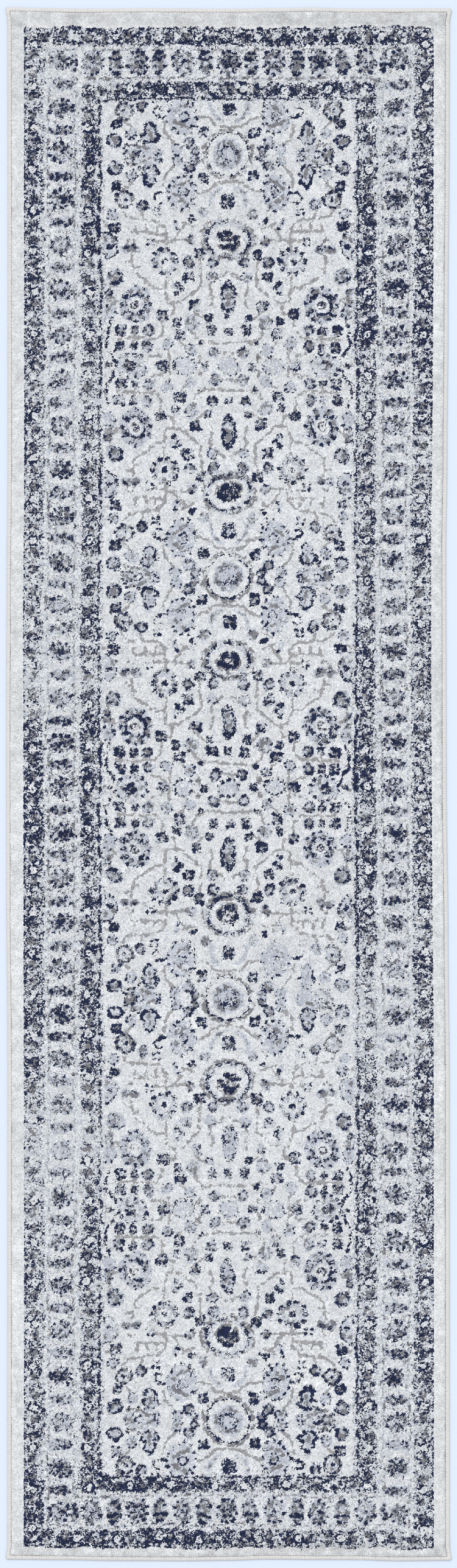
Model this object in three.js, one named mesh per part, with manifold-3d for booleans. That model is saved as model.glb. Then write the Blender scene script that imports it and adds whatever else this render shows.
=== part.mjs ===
// Runner rug: a machine-woven cut-pile runner, backed with latex and serged along its four edges.
// Millimetres, +Z up. The origin is the middle of the underside and +Y runs to the head end.
import * as THREE from 'three';
import { mergeVertices } from 'three/addons/utils/BufferGeometryUtils.js';
import Module from 'manifold-3d';

const wasm = await Module();
wasm.setup();

// Driving dimensions
const rugWidth = 660;
const rugLength = 2300;
const cornerRadius = 3;
const fitGap = 0.3; // clearance wherever two pieces meet

const backCoatThickness = 0.8;
const weftThickness = 0.6;
const stufferThickness = 0.5;
const groundInset = 2; // the woven ground stops this far inside the finished edge
const pileTop = 11;
const pileShoulder = 2.5; // the outermost tufts splay down to the serging over this radius

const sergingWidth = 7;
const sergingHeight = 6.8;
const sergingRadius = 2.8;
const rebateWidth = 1.4; // step along the serging's inner edge, where the needle thread lies
const rebateDepth = 1.1;
const threadRadius = 0.35;

// The woven design: outer limits of each band, as distances from the middle of the design.
const designShift = -5.5; // the design sits this far along Y from the rug's own middle
const pileMargin = sergingWidth + 2 * fitGap;
const bands = [
  { name: 'inner_guard', halfWidth: 219, halfLength: 1043, color: 0x9a9ca8 },
  { name: 'main_border', halfWidth: 275, halfLength: 1098, color: 0xc3c4c8 },
  { name: 'outer_guard', halfWidth: 302, halfLength: 1122, color: 0x8b8e9c },
];
const field = { halfWidth: 188, halfLength: 1018, color: 0xcfd1d4 };
const plainBorderColor = 0xdfe0df;

// Heights, from the floor up
const groundBottom = backCoatThickness + fitGap;
const stufferBottom = groundBottom + weftThickness + fitGap;
const upperWeftBottom = stufferBottom + stufferThickness + fitGap;
const groundTop = upperWeftBottom + weftThickness;
const pileBottom = groundTop + fitGap;

const groundHalfWidth = rugWidth / 2 - groundInset;
const groundHalfLength = rugLength / 2 - groundInset;
const quarterTurn = Math.PI / 2;

const rug = new THREE.Group();
rug.name = 'runner_rug';

function material(color, roughness) {
  return new THREE.MeshStandardMaterial({ color, roughness, metalness: 0 });
}

function addPiece(name, geometry, pieceMaterial) {
  const piece = new THREE.Mesh(geometry, pieceMaterial);
  piece.name = name;
  rug.add(piece);
  return piece;
}

function toSolid(geometry) {
  const bare = geometry.clone();
  bare.deleteAttribute('normal');
  bare.deleteAttribute('uv');
  const welded = mergeVertices(bare, 1e-4);
  return new wasm.Manifold(new wasm.Mesh({
    numProp: 3,
    vertProperties: new Float32Array(welded.attributes.position.array),
    triVerts: new Uint32Array(welded.index.array),
  }));
}

function toGeometry(solid) {
  const mesh = solid.getMesh();
  const geometry = new THREE.BufferGeometry();
  geometry.setAttribute('position', new THREE.BufferAttribute(mesh.vertProperties, 3));
  geometry.setIndex(new THREE.BufferAttribute(mesh.triVerts, 1));
  return geometry;
}

function roundedRectangle(halfWidth, halfLength, radius) {
  const outline = new THREE.Shape();
  outline.absarc(halfWidth - radius, halfLength - radius, radius, 0, quarterTurn);
  outline.absarc(radius - halfWidth, halfLength - radius, radius, quarterTurn, 2 * quarterTurn);
  outline.absarc(radius - halfWidth, radius - halfLength, radius, 2 * quarterTurn, 3 * quarterTurn);
  outline.absarc(halfWidth - radius, radius - halfLength, radius, 3 * quarterTurn, 4 * quarterTurn);
  return outline;
}

// A slab between two corners, placed by its middle.
function addSlab(name, low, high, pieceMaterial) {
  const size = high.clone().sub(low);
  const slab = addPiece(name, new THREE.BoxGeometry(size.x, size.y, size.z), pieceMaterial);
  slab.position.copy(low).add(high).multiplyScalar(0.5);
  return slab;
}

function addLayer(name, halfWidth, halfLength, bottom, thickness, pieceMaterial) {
  const low = new THREE.Vector3(-halfWidth, -halfLength, bottom);
  const high = new THREE.Vector3(halfWidth, halfLength, bottom + thickness);
  addSlab(name, low, high, pieceMaterial);
}

// Backing and the three yarn layers of the woven ground
function addBacking() {
  const inset = sergingWidth + fitGap;
  const latex = material(0xd9d4c6, 0.7);
  const jute = material(0xa98f66, 0.95);
  const stuffer = material(0xe3dfd2, 0.9);
  addLayer('latex_back_coat', rugWidth / 2 - inset, rugLength / 2 - inset, 0, backCoatThickness, latex);
  addLayer('weft_shots_lower', groundHalfWidth, groundHalfLength, groundBottom, weftThickness, jute);
  addLayer('stuffer_warps', groundHalfWidth, groundHalfLength, stufferBottom, stufferThickness, stuffer);
  addLayer('weft_shots_upper', groundHalfWidth, groundHalfLength, upperWeftBottom, weftThickness, jute);
}

// The whole pile as one cushion with a rounded shoulder, which trims the outermost tufts.
function pileEnvelope() {
  const outline = roundedRectangle(
    rugWidth / 2 - pileMargin - pileShoulder,
    rugLength / 2 - pileMargin - pileShoulder,
    cornerRadius,
  );
  const cushion = new THREE.ExtrudeGeometry(outline, {
    depth: 2 * pileTop - 2 * pileShoulder,
    bevelThickness: pileShoulder,
    bevelSize: pileShoulder,
    bevelSegments: 5,
    curveSegments: 4,
  });
  cushion.translate(0, 0, pileShoulder - pileTop);
  return toSolid(cushion);
}

// Tufts between an inner and an outer rectangle: head and foot run full width, the sides fit between them.
function addTuftBand(name, inner, outer, pieceMaterial, envelope) {
  const strips = {
    head: [-outer.x, outer.x, inner.head, outer.head],
    foot: [-outer.x, outer.x, outer.foot, inner.foot],
    left: [-outer.x, -inner.x, inner.foot, inner.head],
    right: [inner.x, outer.x, inner.foot, inner.head],
  };
  const halfGap = fitGap / 2;
  for (const [side, [x0, x1, y0, y1]] of Object.entries(strips)) {
    const low = new THREE.Vector3(x0 + halfGap, y0 + halfGap, pileBottom);
    const high = new THREE.Vector3(x1 - halfGap, y1 - halfGap, pileTop);
    const strip = addSlab(`${name}_${side}`, low, high, pieceMaterial);
    if (envelope) {
      strip.geometry.translate(strip.position.x, strip.position.y, strip.position.z);
      strip.position.set(0, 0, 0);
      strip.geometry = toGeometry(toSolid(strip.geometry).intersect(envelope));
    }
  }
}

function limits(halfWidth, halfLength) {
  return { x: halfWidth, head: designShift + halfLength, foot: designShift - halfLength };
}

function addPile() {
  let inner = limits(field.halfWidth, field.halfLength);
  addSlab(
    'pile_field',
    new THREE.Vector3(-inner.x + fitGap / 2, inner.foot + fitGap / 2, pileBottom),
    new THREE.Vector3(inner.x - fitGap / 2, inner.head - fitGap / 2, pileTop),
    material(field.color, 0.92),
  );
  for (const band of bands) {
    const outer = limits(band.halfWidth, band.halfLength);
    addTuftBand(`pile_${band.name}`, inner, outer, material(band.color, 0.92));
    inner = outer;
  }
  const reachX = rugWidth / 2 - pileMargin;
  const reachY = rugLength / 2 - pileMargin;
  const outer = { x: reachX, head: reachY, foot: -reachY };
  addTuftBand('pile_plain_border', inner, outer, material(plainBorderColor, 0.92), pileEnvelope());
}

// Cross-section of the serging: x runs in from the finished edge, y up from the floor.
function sergingSection() {
  const section = new THREE.Shape();
  section.moveTo(sergingWidth, 0);
  section.lineTo(sergingWidth, sergingHeight - rebateDepth);
  section.lineTo(sergingWidth - rebateWidth, sergingHeight - rebateDepth);
  section.lineTo(sergingWidth - rebateWidth, sergingHeight);
  section.absarc(sergingRadius, sergingHeight - sergingRadius, sergingRadius, quarterTurn, 2 * quarterTurn);
  section.absarc(sergingRadius, sergingRadius, sergingRadius, 2 * quarterTurn, 3 * quarterTurn);
  return section;
}

// One serged edge, made facing +Y at its own reach from the middle, with a pocket for the woven ground.
function sergingBar(halfRun, reach, pocketHalfRun) {
  const bar = new THREE.ExtrudeGeometry(sergingSection(), {
    depth: 2 * halfRun,
    bevelEnabled: false,
    curveSegments: 8,
  });
  const along = new THREE.Matrix4().makeBasis(
    new THREE.Vector3(0, -1, 0),
    new THREE.Vector3(0, 0, 1),
    new THREE.Vector3(-1, 0, 0),
  );
  bar.applyMatrix4(along.setPosition(halfRun, reach, 0));

  const pocketDepth = sergingWidth - groundInset + 2 * fitGap;
  const pocketHeight = pileBottom - backCoatThickness;
  const pocket = new THREE.BoxGeometry(2 * pocketHalfRun, pocketDepth, pocketHeight);
  const pocketMouth = reach - sergingWidth - fitGap;
  pocket.translate(0, pocketMouth + pocketDepth / 2, backCoatThickness + pocketHeight / 2);
  return toSolid(bar).subtract(toSolid(pocket));
}

// Rounds the two outer corners of a serged end.
function cornerTrim() {
  const outline = roundedRectangle(rugWidth / 2, rugLength / 2, cornerRadius);
  return toSolid(new THREE.ExtrudeGeometry(outline, {
    depth: pileTop,
    bevelEnabled: false,
    curveSegments: 6,
  }));
}

function addSerging() {
  const yarn = material(0xe9e8e2, 0.65);
  const sideHalfRun = rugLength / 2 - sergingWidth - fitGap;
  const end = sergingBar(rugWidth / 2, rugLength / 2, groundHalfWidth + fitGap).intersect(cornerTrim());
  const side = sergingBar(sideHalfRun, rugWidth / 2, sideHalfRun + fitGap);
  const edges = { head: end, left: side, foot: end, right: side };
  Object.entries(edges).forEach(([place, solid], turns) => {
    addPiece(`serged_edge_${place}`, toGeometry(solid), yarn).rotation.z = turns * quarterTurn;
  });
}

// The line of needle thread that holds each serged edge down, lying in the serging's rebate.
function addNeedleThread() {
  const cotton = material(0xb9b6ad, 0.8);
  const lineInset = sergingWidth - rebateWidth / 2;
  const height = sergingHeight - rebateDepth + fitGap + threadRadius;
  const runs = {
    head: { run: rugWidth - 2 * lineInset, reach: rugLength / 2 - lineInset },
    left: { run: rugLength - 2 * sergingWidth - 2 * fitGap, reach: rugWidth / 2 - lineInset },
  };
  const edges = { head: runs.head, left: runs.left, foot: runs.head, right: runs.left };
  Object.entries(edges).forEach(([place, { run, reach }], turns) => {
    const thread = new THREE.CylinderGeometry(threadRadius, threadRadius, run, 8);
    thread.rotateZ(quarterTurn);
    thread.translate(0, reach, height);
    addPiece(`needle_thread_${place}`, thread, cotton).rotation.z = turns * quarterTurn;
  });
}

addBacking();
addPile();
addSerging();
addNeedleThread();

export default rug;
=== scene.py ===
import math

import bpy
import numpy as np
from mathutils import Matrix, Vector


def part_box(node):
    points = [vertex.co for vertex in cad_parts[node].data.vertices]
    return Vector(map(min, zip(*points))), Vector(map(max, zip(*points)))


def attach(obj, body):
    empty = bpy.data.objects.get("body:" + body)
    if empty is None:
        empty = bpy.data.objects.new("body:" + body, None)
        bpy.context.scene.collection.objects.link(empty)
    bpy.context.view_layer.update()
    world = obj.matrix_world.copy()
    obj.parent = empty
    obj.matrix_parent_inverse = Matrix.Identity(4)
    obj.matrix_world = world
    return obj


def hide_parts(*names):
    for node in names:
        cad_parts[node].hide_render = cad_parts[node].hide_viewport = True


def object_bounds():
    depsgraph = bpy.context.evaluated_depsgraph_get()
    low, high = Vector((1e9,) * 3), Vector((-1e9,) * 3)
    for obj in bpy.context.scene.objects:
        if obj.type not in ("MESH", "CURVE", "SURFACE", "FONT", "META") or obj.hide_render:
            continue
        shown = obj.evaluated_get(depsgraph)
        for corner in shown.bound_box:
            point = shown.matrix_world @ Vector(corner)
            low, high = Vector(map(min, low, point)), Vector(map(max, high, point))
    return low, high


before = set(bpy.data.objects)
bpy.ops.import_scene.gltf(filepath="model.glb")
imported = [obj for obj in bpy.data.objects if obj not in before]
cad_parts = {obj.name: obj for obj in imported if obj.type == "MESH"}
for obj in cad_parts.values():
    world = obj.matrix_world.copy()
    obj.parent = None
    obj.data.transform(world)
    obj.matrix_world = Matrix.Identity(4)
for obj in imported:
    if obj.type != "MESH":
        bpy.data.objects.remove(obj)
cadLow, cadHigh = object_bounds()
mm = 0.001

# The camera looks straight down on the rug, head end up, through a long lens.
camera = {"lens": 135.0, "longSide": 36.0, "coverLength": 2.3184, "farEnd": 100.0}


def makeCamera():
    data = bpy.data.cameras.new("overheadCamera")
    data.lens = camera["lens"]
    data.sensor_width = camera["longSide"]
    data.clip_end = camera["farEnd"]
    height = camera["lens"] / camera["longSide"] * camera["coverLength"]
    overhead = bpy.data.objects.new("overheadCamera", data)
    overhead.location = (0.0, 0.0, cadHigh.z + height)
    bpy.context.collection.objects.link(overhead)
    bpy.context.scene.camera = overhead


makeCamera()
print("camera ready")


def feed(tree, source, target):
    # a target takes either another socket or a plain value
    if isinstance(source, bpy.types.NodeSocket):
        tree.links.new(source, target)
    else:
        target.default_value = source


def addNode(tree, kind, inputs=None, **settings):
    # inputs says what feeds each socket, by the socket's name or number
    node = tree.nodes.new(kind)
    for name, value in settings.items():
        setattr(node, name, value)
    for label, source in (inputs or {}).items():
        feed(tree, source, node.inputs[label])
    return node


def math2(tree, operation, a, b):
    return addNode(tree, "ShaderNodeMath", {0: a, 1: b}, operation=operation).outputs[0]


def mapRange(tree, value, low, high, toLow=0.0, toHigh=1.0, smooth=False):
    inputs = dict(enumerate((value, low, high, toLow, toHigh)))
    kind = "SMOOTHSTEP" if smooth else "LINEAR"
    return addNode(tree, "ShaderNodeMapRange", inputs, clamp=True, interpolation_type=kind).outputs[0]


def mixColor(tree, factor, a, b):
    return addNode(tree, "ShaderNodeMix", {0: factor, 6: a, 7: b}, data_type="RGBA").outputs[2]


def noise(tree, vector, scale, detail=0.0, roughness=0.5, dimensions="3D", distortion=0.0):
    inputs = {"Vector": vector, "Scale": scale, "Detail": detail}
    inputs.update({"Roughness": roughness, "Distortion": distortion})
    return addNode(tree, "ShaderNodeTexNoise", inputs, noise_dimensions=dimensions).outputs["Fac"]


def moved(tree, vector, offset):
    return addNode(tree, "ShaderNodeMapping", {"Vector": vector, "Location": offset}).outputs["Vector"]


def shaded(tree, color, shade):
    # a colour made lighter or darker by a number
    vector = color if isinstance(color, bpy.types.NodeSocket) else color[:3]
    inputs = {0: vector, "Scale": shade}
    return addNode(tree, "ShaderNodeVectorMath", inputs, operation="SCALE").outputs["Vector"]


def newGroup(name, inputs, outputs):
    group = bpy.data.node_groups.new(name, "ShaderNodeTree")
    for label, kind, value in inputs:
        socket = group.interface.new_socket(name=label, in_out="INPUT", socket_type=kind)
        if value is not None:
            socket.default_value = value
    for label, kind in outputs:
        group.interface.new_socket(name=label, in_out="OUTPUT", socket_type=kind)
    ends = addNode(group, "NodeGroupInput"), addNode(group, "NodeGroupOutput")
    return group, ends[0].outputs, ends[1].inputs


def useGroup(tree, group, inputs):
    return addNode(tree, "ShaderNodeGroup", inputs, node_tree=group).outputs


def newMaterial(name, roughness, sheen=0.0, specular=0.3):
    material = bpy.data.materials.new(name)
    material.use_nodes = True
    tree = material.node_tree
    surface = tree.nodes["Principled BSDF"]
    surface.inputs["Roughness"].default_value = roughness
    surface.inputs["Sheen Weight"].default_value = sheen
    surface.inputs["Specular IOR Level"].default_value = specular
    place = addNode(tree, "ShaderNodeTexCoord").outputs["Object"]
    return material, tree, surface, place


def addBump(tree, surface, height, distance, strength=1.0):
    bump = addNode(tree, "ShaderNodeBump", {"Strength": strength, "Distance": distance, "Height": height})
    tree.links.new(bump.outputs["Normal"], surface.inputs["Normal"])


def rgb(red, green, blue):
    # screen colour to linear
    def linear(value):
        value = value / 255
        return value / 12.92 if value <= 0.04045 else ((value + 0.055) / 1.055) ** 2.4

    return (linear(red), linear(green), linear(blue), 1.0)


def makeTuftGrain():
    # Cut tufts: a rank for each tuft that decides its yarn, clumps of tufts, and the shade inside a tuft,
    # which is each tuft's own tone and fibre grain with painted shade in the gaps between tufts.
    group, given, out = newGroup(
        "tuftGrain",
        [
            ("Vector", "NodeSocketVector", None),
            ("Tuft Scale", "NodeSocketFloat", 590.0),
            ("Own Share", "NodeSocketFloat", 0.5),
        ],
        [(label, "NodeSocketFloat") for label in ("Rank", "Soft Rank", "Clump", "Shade", "Height")],
    )
    tufts = {"Vector": given["Vector"], "Scale": given["Tuft Scale"], "Smoothness": 0.3, "Randomness": 0.9}
    cells = addNode(
        group, "ShaderNodeTexVoronoi", tufts, voronoi_dimensions="2D", feature="SMOOTH_F1"
    ).outputs
    own = addNode(group, "ShaderNodeSeparateColor", {0: cells["Color"]}).outputs
    middles = {0: 0.45, 4: given["Vector"], 5: cells["Position"]}
    middle = addNode(group, "ShaderNodeMix", middles, data_type="VECTOR").outputs[1]
    groupShare = math2(group, "SUBTRACT", 1.0, given["Own Share"])
    for label, channel, scale, offset in (("Rank", 0, 350.0, 0.0), ("Soft Rank", 1, 190.0, 3.1)):
        grouped = noise(group, moved(group, middle, (offset, offset, 0.0)), scale, 0.6, 0.5, "2D", 0.8)
        grouped = mapRange(group, grouped, 0.30, 0.70)
        single = math2(group, "MULTIPLY", own[channel], given["Own Share"])
        total = math2(group, "ADD", single, math2(group, "MULTIPLY", grouped, groupShare))
        feed(group, mapRange(group, total, 0.06, 0.94, smooth=True), out[label])
    clump = noise(group, moved(group, given["Vector"], (5.3, 2.9, 0.0)), 95.0, 1.0, 0.5, "2D")
    feed(group, mapRange(group, clump, 0.28, 0.72), out["Clump"])
    fibre = noise(group, given["Vector"], 620.0, 2.0, 0.65, "3D", 1.2)
    # painted shade: darker towards each tuft's edge, in the gaps between tufts; the same value also dips the
    # bump height there
    hollow = mapRange(group, cells["Distance"], 0.15, 0.75, 1.0, 0.0, smooth=True)
    shade = math2(group, "MULTIPLY", own[2], 0.22)
    shade = math2(group, "ADD", shade, math2(group, "MULTIPLY", hollow, 0.18))
    shade = math2(group, "ADD", shade, math2(group, "MULTIPLY", mapRange(group, fibre, 0.3, 0.7), 0.6))
    feed(group, shade, out["Shade"])
    height = math2(group, "ADD", hollow, math2(group, "MULTIPLY", fibre, 0.5))
    feed(group, math2(group, "ADD", height, math2(group, "MULTIPLY", own[2], 0.6)), out["Height"])
    return group


def makeYarnTwist():
    # Plies turning round a yarn, and the loose fibres on it.
    group, given, out = newGroup(
        "yarnTwist",
        [("Vector", "NodeSocketVector", None), ("Ply Scale", "NodeSocketFloat", 900.0)],
        [("Shade", "NodeSocketFloat"), ("Height", "NodeSocketFloat")],
    )
    plies = {"Vector": given["Vector"], "Scale": given["Ply Scale"], "Distortion": 2.0, "Detail": 1.0}
    waves = addNode(group, "ShaderNodeTexWave", plies, wave_type="BANDS", bands_direction="DIAGONAL")
    fuzz = noise(group, given["Vector"], 1500.0, 2.0, 0.6)
    blotch = noise(group, given["Vector"], 60.0, 2.0, 0.5)
    shade = math2(group, "ADD", math2(group, "MULTIPLY", fuzz, 0.6), math2(group, "MULTIPLY", blotch, 0.4))
    feed(group, shade, out["Shade"])
    feed(group, math2(group, "ADD", waves.outputs["Fac"], math2(group, "MULTIPLY", fuzz, 0.7)), out["Height"])
    return group


tuftGrain = makeTuftGrain()
yarnTwist = makeYarnTwist()


pileColors = {
    "ivory": rgb(227, 229, 231),
    "silver": rgb(177, 185, 201),
    "grey": rgb(130, 128, 131),
    "taupe": rgb(114, 113, 118),
    "navyDeep": rgb(14, 19, 33),
    "navy": rgb(47, 61, 106),
}


def attribute(tree, name):
    return addNode(tree, "ShaderNodeAttribute", attribute_name=name).outputs["Fac"]


def inkMask(tree, level, rank, clump, swing, edge):
    # The yarn shows where a tuft's rank is under the ink level, which clumps raise and lower.
    # Level 0 gives none at all and level 1 gives all.
    swung = math2(tree, "MULTIPLY", level, mapRange(tree, clump, 0.0, 1.0, 1.0 - swing, 1.0 + swing))
    widened = math2(tree, "MULTIPLY", math2(tree, "SUBTRACT", swung, 0.5), 1.0 + 2.0 * edge)
    over = math2(tree, "SUBTRACT", math2(tree, "ADD", widened, 0.5), rank)
    return mapRange(tree, over, -edge, edge, smooth=True)


def makePileMaterial():
    material, tree, surface, place = newMaterial("cutPile", 0.88, sheen=0.15, specular=0.15)
    grain = useGroup(tree, tuftGrain, {"Vector": place, "Own Share": 0.52})
    other = useGroup(tree, tuftGrain, {"Vector": moved(tree, place, (0.73, 0.41, 0.0)), "Own Share": 0.35})
    silver = inkMask(tree, attribute(tree, "silverInk"), other["Rank"], grain["Clump"], 0.3, 0.22)
    color = mixColor(tree, math2(tree, "MULTIPLY", silver, 0.72), pileColors["ivory"], pileColors["silver"])
    grey = inkMask(tree, attribute(tree, "greyInk"), other["Soft Rank"], grain["Clump"], 0.2, 0.3)
    color = mixColor(tree, math2(tree, "MULTIPLY", grey, 0.72), color, pileColors["grey"])
    taupe = inkMask(tree, attribute(tree, "taupeInk"), grain["Soft Rank"], other["Clump"], 0.4, 0.26)
    color = mixColor(tree, math2(tree, "MULTIPLY", taupe, 0.86), color, pileColors["taupe"])
    navy = inkMask(tree, attribute(tree, "navyInk"), grain["Rank"], grain["Clump"], 0.15, 0.16)
    blue = mapRange(tree, other["Shade"], 0.3, 0.9)
    color = mixColor(tree, navy, color, mixColor(tree, blue, pileColors["navyDeep"], pileColors["navy"]))
    # the tuft grain's shade: random tone and fibre grain, with painted shade in the gaps between tufts
    shade = mapRange(tree, grain["Shade"], 0.2, 0.8, 0.72, 1.18)
    shade = math2(tree, "ADD", shade, mapRange(tree, other["Soft Rank"], 0.0, 1.0, -0.07, 0.07))
    # painted shade and painted light: darker head and foot margins, a lighter rim, with soft random tone
    shade = math2(tree, "MULTIPLY", shade, attribute(tree, "paintedShadeAndTone"))
    feed(tree, shaded(tree, color, shade), surface.inputs["Base Color"])
    addBump(tree, surface, grain["Height"], 0.4 * mm, 0.9)
    return material


def makeYarnMaterial(name, color, roughness, spread, plyScale, depth, sheen):
    material, tree, surface, place = newMaterial(name, roughness, sheen=sheen)
    twist = useGroup(tree, yarnTwist, {"Vector": place, "Ply Scale": plyScale})
    shade = mapRange(tree, twist["Shade"], 0.3, 0.7, 1.0 - spread, 1.0 + spread)
    feed(tree, shaded(tree, color, shade), surface.inputs["Base Color"])
    addBump(tree, surface, twist["Height"], depth)
    return material


pileMaterial = makePileMaterial()
sergingMaterial = makeYarnMaterial("sergingYarn", rgb(230, 228, 226), 0.6, 0.06, 900.0, 0.1 * mm, 0.1)
threadMaterial = makeYarnMaterial("needleCotton", rgb(208, 207, 205), 0.75, 0.1, 1400.0, 0.05 * mm, 0.1)
juteMaterial = makeYarnMaterial("juteWeft", rgb(168, 144, 104), 0.92, 0.16, 700.0, 0.15 * mm, 0.1)
stufferMaterial = makeYarnMaterial("stufferYarn", rgb(222, 218, 206), 0.88, 0.1, 800.0, 0.12 * mm, 0.1)
latexMaterial = makeYarnMaterial("latexCoat", rgb(214, 208, 192), 0.68, 0.08, 380.0, 0.1 * mm, 0.0)
print("materials ready")


# The outline: the side edges bow in and out a little, and the corners flare. Each point is a place along
# and a reach, in mm.
outline = {
    "leftEdge": [(-1150, 329.8), (-1125, 327.5), (-700, 327.2), (-430, 327), (-150, 329), (100, 329.2),
                 (300, 328.4), (480, 326.9), (900, 327), (1125, 327.3), (1150, 330)],
    "rightEdge": [(-1150, 330), (-1125, 327), (-450, 326.8), (-230, 325), (0, 322.3), (150, 322),
                  (340, 321.6), (480, 323.4), (700, 325), (950, 326.6), (1125, 327), (1150, 330)],
    "leftDesign": [(-1150, 302.1), (-700, 301.6), (0, 302.5), (250, 303.1), (480, 301.3), (1150, 301.8)],
    "rightDesign": [(-1150, 303), (-430, 302.8), (-50, 300.3), (100, 299.2), (350, 299),
                    (560, 301.2), (800, 302.4), (1150, 302.8)],
    "headEdge": [(-330, 0), (-290, -1), (-215, -2.4), (-120, -1.7), (0, -2.4), (60, -1.7), (122, -0.7),
                 (185, -2.2), (330, -1.8)],
    "footEdge": [(-330, -2.2), (-250, -1.7), (-165, -0.4), (-60, 0), (0, -0.8), (55, -2.4), (130, -1.9),
                 (185, -1.8), (250, 0), (330, -0.8)],
    "cornerRadius": 3.0,
    "endsFrom": 1124,  # only the margin past this follows the wavy head and foot
    "endsOver": 16,
}
halfWidth = cadHigh.x / mm
halfLength = cadHigh.y / mm
pileLow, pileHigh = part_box("pile_plain_border_right")
pileReachX = pileHigh.x / mm
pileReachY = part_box("pile_plain_border_head")[1].y / mm
pileTop = pileHigh.z / mm
pileBottom = pileLow.z / mm
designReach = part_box("pile_outer_guard_right")[1].x / mm


def eased(points, y):
    # a smooth line through (y, value) points
    ys = np.array([p[0] for p in points], float)
    values = np.array([p[1] for p in points], float)
    index = np.clip(np.searchsorted(ys, y) - 1, 0, len(ys) - 2)
    t = np.clip((y - ys[index]) / (ys[index + 1] - ys[index]), 0, 1)
    t = t * t * (3 - 2 * t)
    return values[index] * (1 - t) + values[index + 1] * t


def laidOut(points):
    # Carries points, in mm, from the straight rectangle to the outline the rug really has.
    x, y, z = np.array(points, float).T
    radius = outline["cornerRadius"]
    overX = np.abs(x) - (halfWidth - radius)
    overY = np.abs(y) - (halfLength - radius)
    corner = (overX > 0) & (overY > 0) & (np.hypot(overX, overY) > radius)
    pull = radius / np.maximum(np.hypot(overX, overY), 1e-9)
    x = np.where(corner, np.sign(x) * (halfWidth - radius + overX * pull), x)
    y = np.where(corner, np.sign(y) * (halfLength - radius + overY * pull), y)
    reach = np.abs(x)
    bent = np.empty_like(x)
    for side, rows in (("left", x < 0), ("right", x >= 0)):
        edge = eased(outline[side + "Edge"], y[rows])
        inner = eased(outline[side + "Design"], y[rows])
        binding = halfWidth - pileReachX
        s = reach[rows]
        field = s * inner / designReach
        margin = inner + (s - designReach) * (edge - binding - inner) / (pileReachX - designReach)
        rim = edge - (halfWidth - s)
        bent[rows] = np.where(s < designReach, field, np.where(s < pileReachX, margin, rim))
    nearEnd = np.clip((np.abs(y) - outline["endsFrom"]) / outline["endsOver"], 0, 1)
    y = y + nearEnd * np.where(y > 0, eased(outline["headEdge"], x), -eased(outline["footEdge"], x))
    return np.stack([np.sign(x) * bent, y, z], 1) * mm


def makeMesh(name, points, faces, material):
    mesh = bpy.data.meshes.new(name)
    mesh.from_pydata([tuple(p) for p in points], [], faces)
    mesh.materials.append(material)
    mesh.shade_smooth()
    piece = bpy.data.objects.new(name, mesh)
    bpy.context.collection.objects.link(piece)
    return piece


def settle(piece, slot, *nodes):
    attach(piece, "root")
    if nodes:
        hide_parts(*nodes)
    return piece


def softNoise(seed, blurX, blurY, step):
    # Seeded noise over the whole rug on a lattice of step mm, blurred, with a spread of 1.
    random = np.random.default_rng(seed)
    rows = int(2 * halfLength / step) + 3
    columns = int(2 * halfWidth / step) + 3
    values = random.standard_normal((rows, columns))
    for axis, blur in ((0, blurY / step), (1, blurX / step)):
        reach = max(1, int(3 * blur))
        kernel = np.exp(-0.5 * (np.arange(-reach, reach + 1) / blur) ** 2)
        padded = np.concatenate([values, values], axis)
        spectrum = np.fft.rfft(padded, axis=axis)
        ramp = np.zeros(padded.shape[axis])
        ramp[: reach + 1] = kernel[reach:]
        ramp[-reach:] = kernel[:reach]
        shape = (-1, 1) if axis == 0 else (1, -1)
        spectrum *= np.fft.rfft(ramp).reshape(shape)
        values = np.fft.irfft(spectrum, padded.shape[axis], axis=axis)
        values = values[:rows] if axis == 0 else values[:, :columns]
    return {"values": values / values.std(), "step": step}


def sample(field, x, y):
    column = np.clip((x + halfWidth) / field["step"], 0, field["values"].shape[1] - 1.001)
    row = np.clip((y + halfLength) / field["step"], 0, field["values"].shape[0] - 1.001)
    i, j = row.astype(int), column.astype(int)
    a, b = row - i, column - j
    v = field["values"]
    top = v[i, j] * (1 - b) + v[i, j + 1] * b
    low = v[i + 1, j] * (1 - b) + v[i + 1, j + 1] * b
    return top * (1 - a) + low * a


inkNames = ("navy", "taupe", "grey", "silver")


def startInk(u, v):
    blank = {"u": u, "v": v}
    for name in inkNames:
        blank[name] = np.zeros_like(u)
    return blank


def lay(ink, name, distance, level, soft=1.6):
    # distance is in mm to the shape's edge, negative inside it
    np.maximum(ink[name], level * np.clip(0.5 - distance / soft, 0, 1), out=ink[name])


def spread(ink, u, v, ru, rv, turn=0.0):
    # distance from an ellipse's outline, in mm
    du, dv = ink["u"] - u, ink["v"] - v
    if turn:
        c, s = math.cos(math.radians(turn)), math.sin(math.radians(turn))
        du, dv = du * c + dv * s, dv * c - du * s
    return (np.hypot(du / ru, dv / rv) - 1) * min(ru, rv)


def blob(ink, name, level, u, v, ru, rv=None, turn=0.0):
    lay(ink, name, spread(ink, u, v, ru, rv or ru, turn), level)


def ring(ink, name, level, width, u, v, ru, rv=None):
    lay(ink, name, np.abs(spread(ink, u, v, ru, rv or ru)) - width / 2, level)


def wipe(ink, u, v, ru, rv=None):
    keep = np.clip(0.5 + spread(ink, u, v, ru, rv or ru) / 1.6, 0, 1)
    for name in inkNames:
        ink[name] *= keep


def vine(ink, name, level, width, points):
    for (u0, v0), (u1, v1) in zip(points, points[1:]):
        du, dv = u1 - u0, v1 - v0
        t = np.clip(((ink["u"] - u0) * du + (ink["v"] - v0) * dv) / (du * du + dv * dv), 0, 1)
        distance = np.hypot(ink["u"] - u0 - t * du, ink["v"] - v0 - t * dv)
        lay(ink, name, distance - width / 2, level, 2.4)


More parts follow.
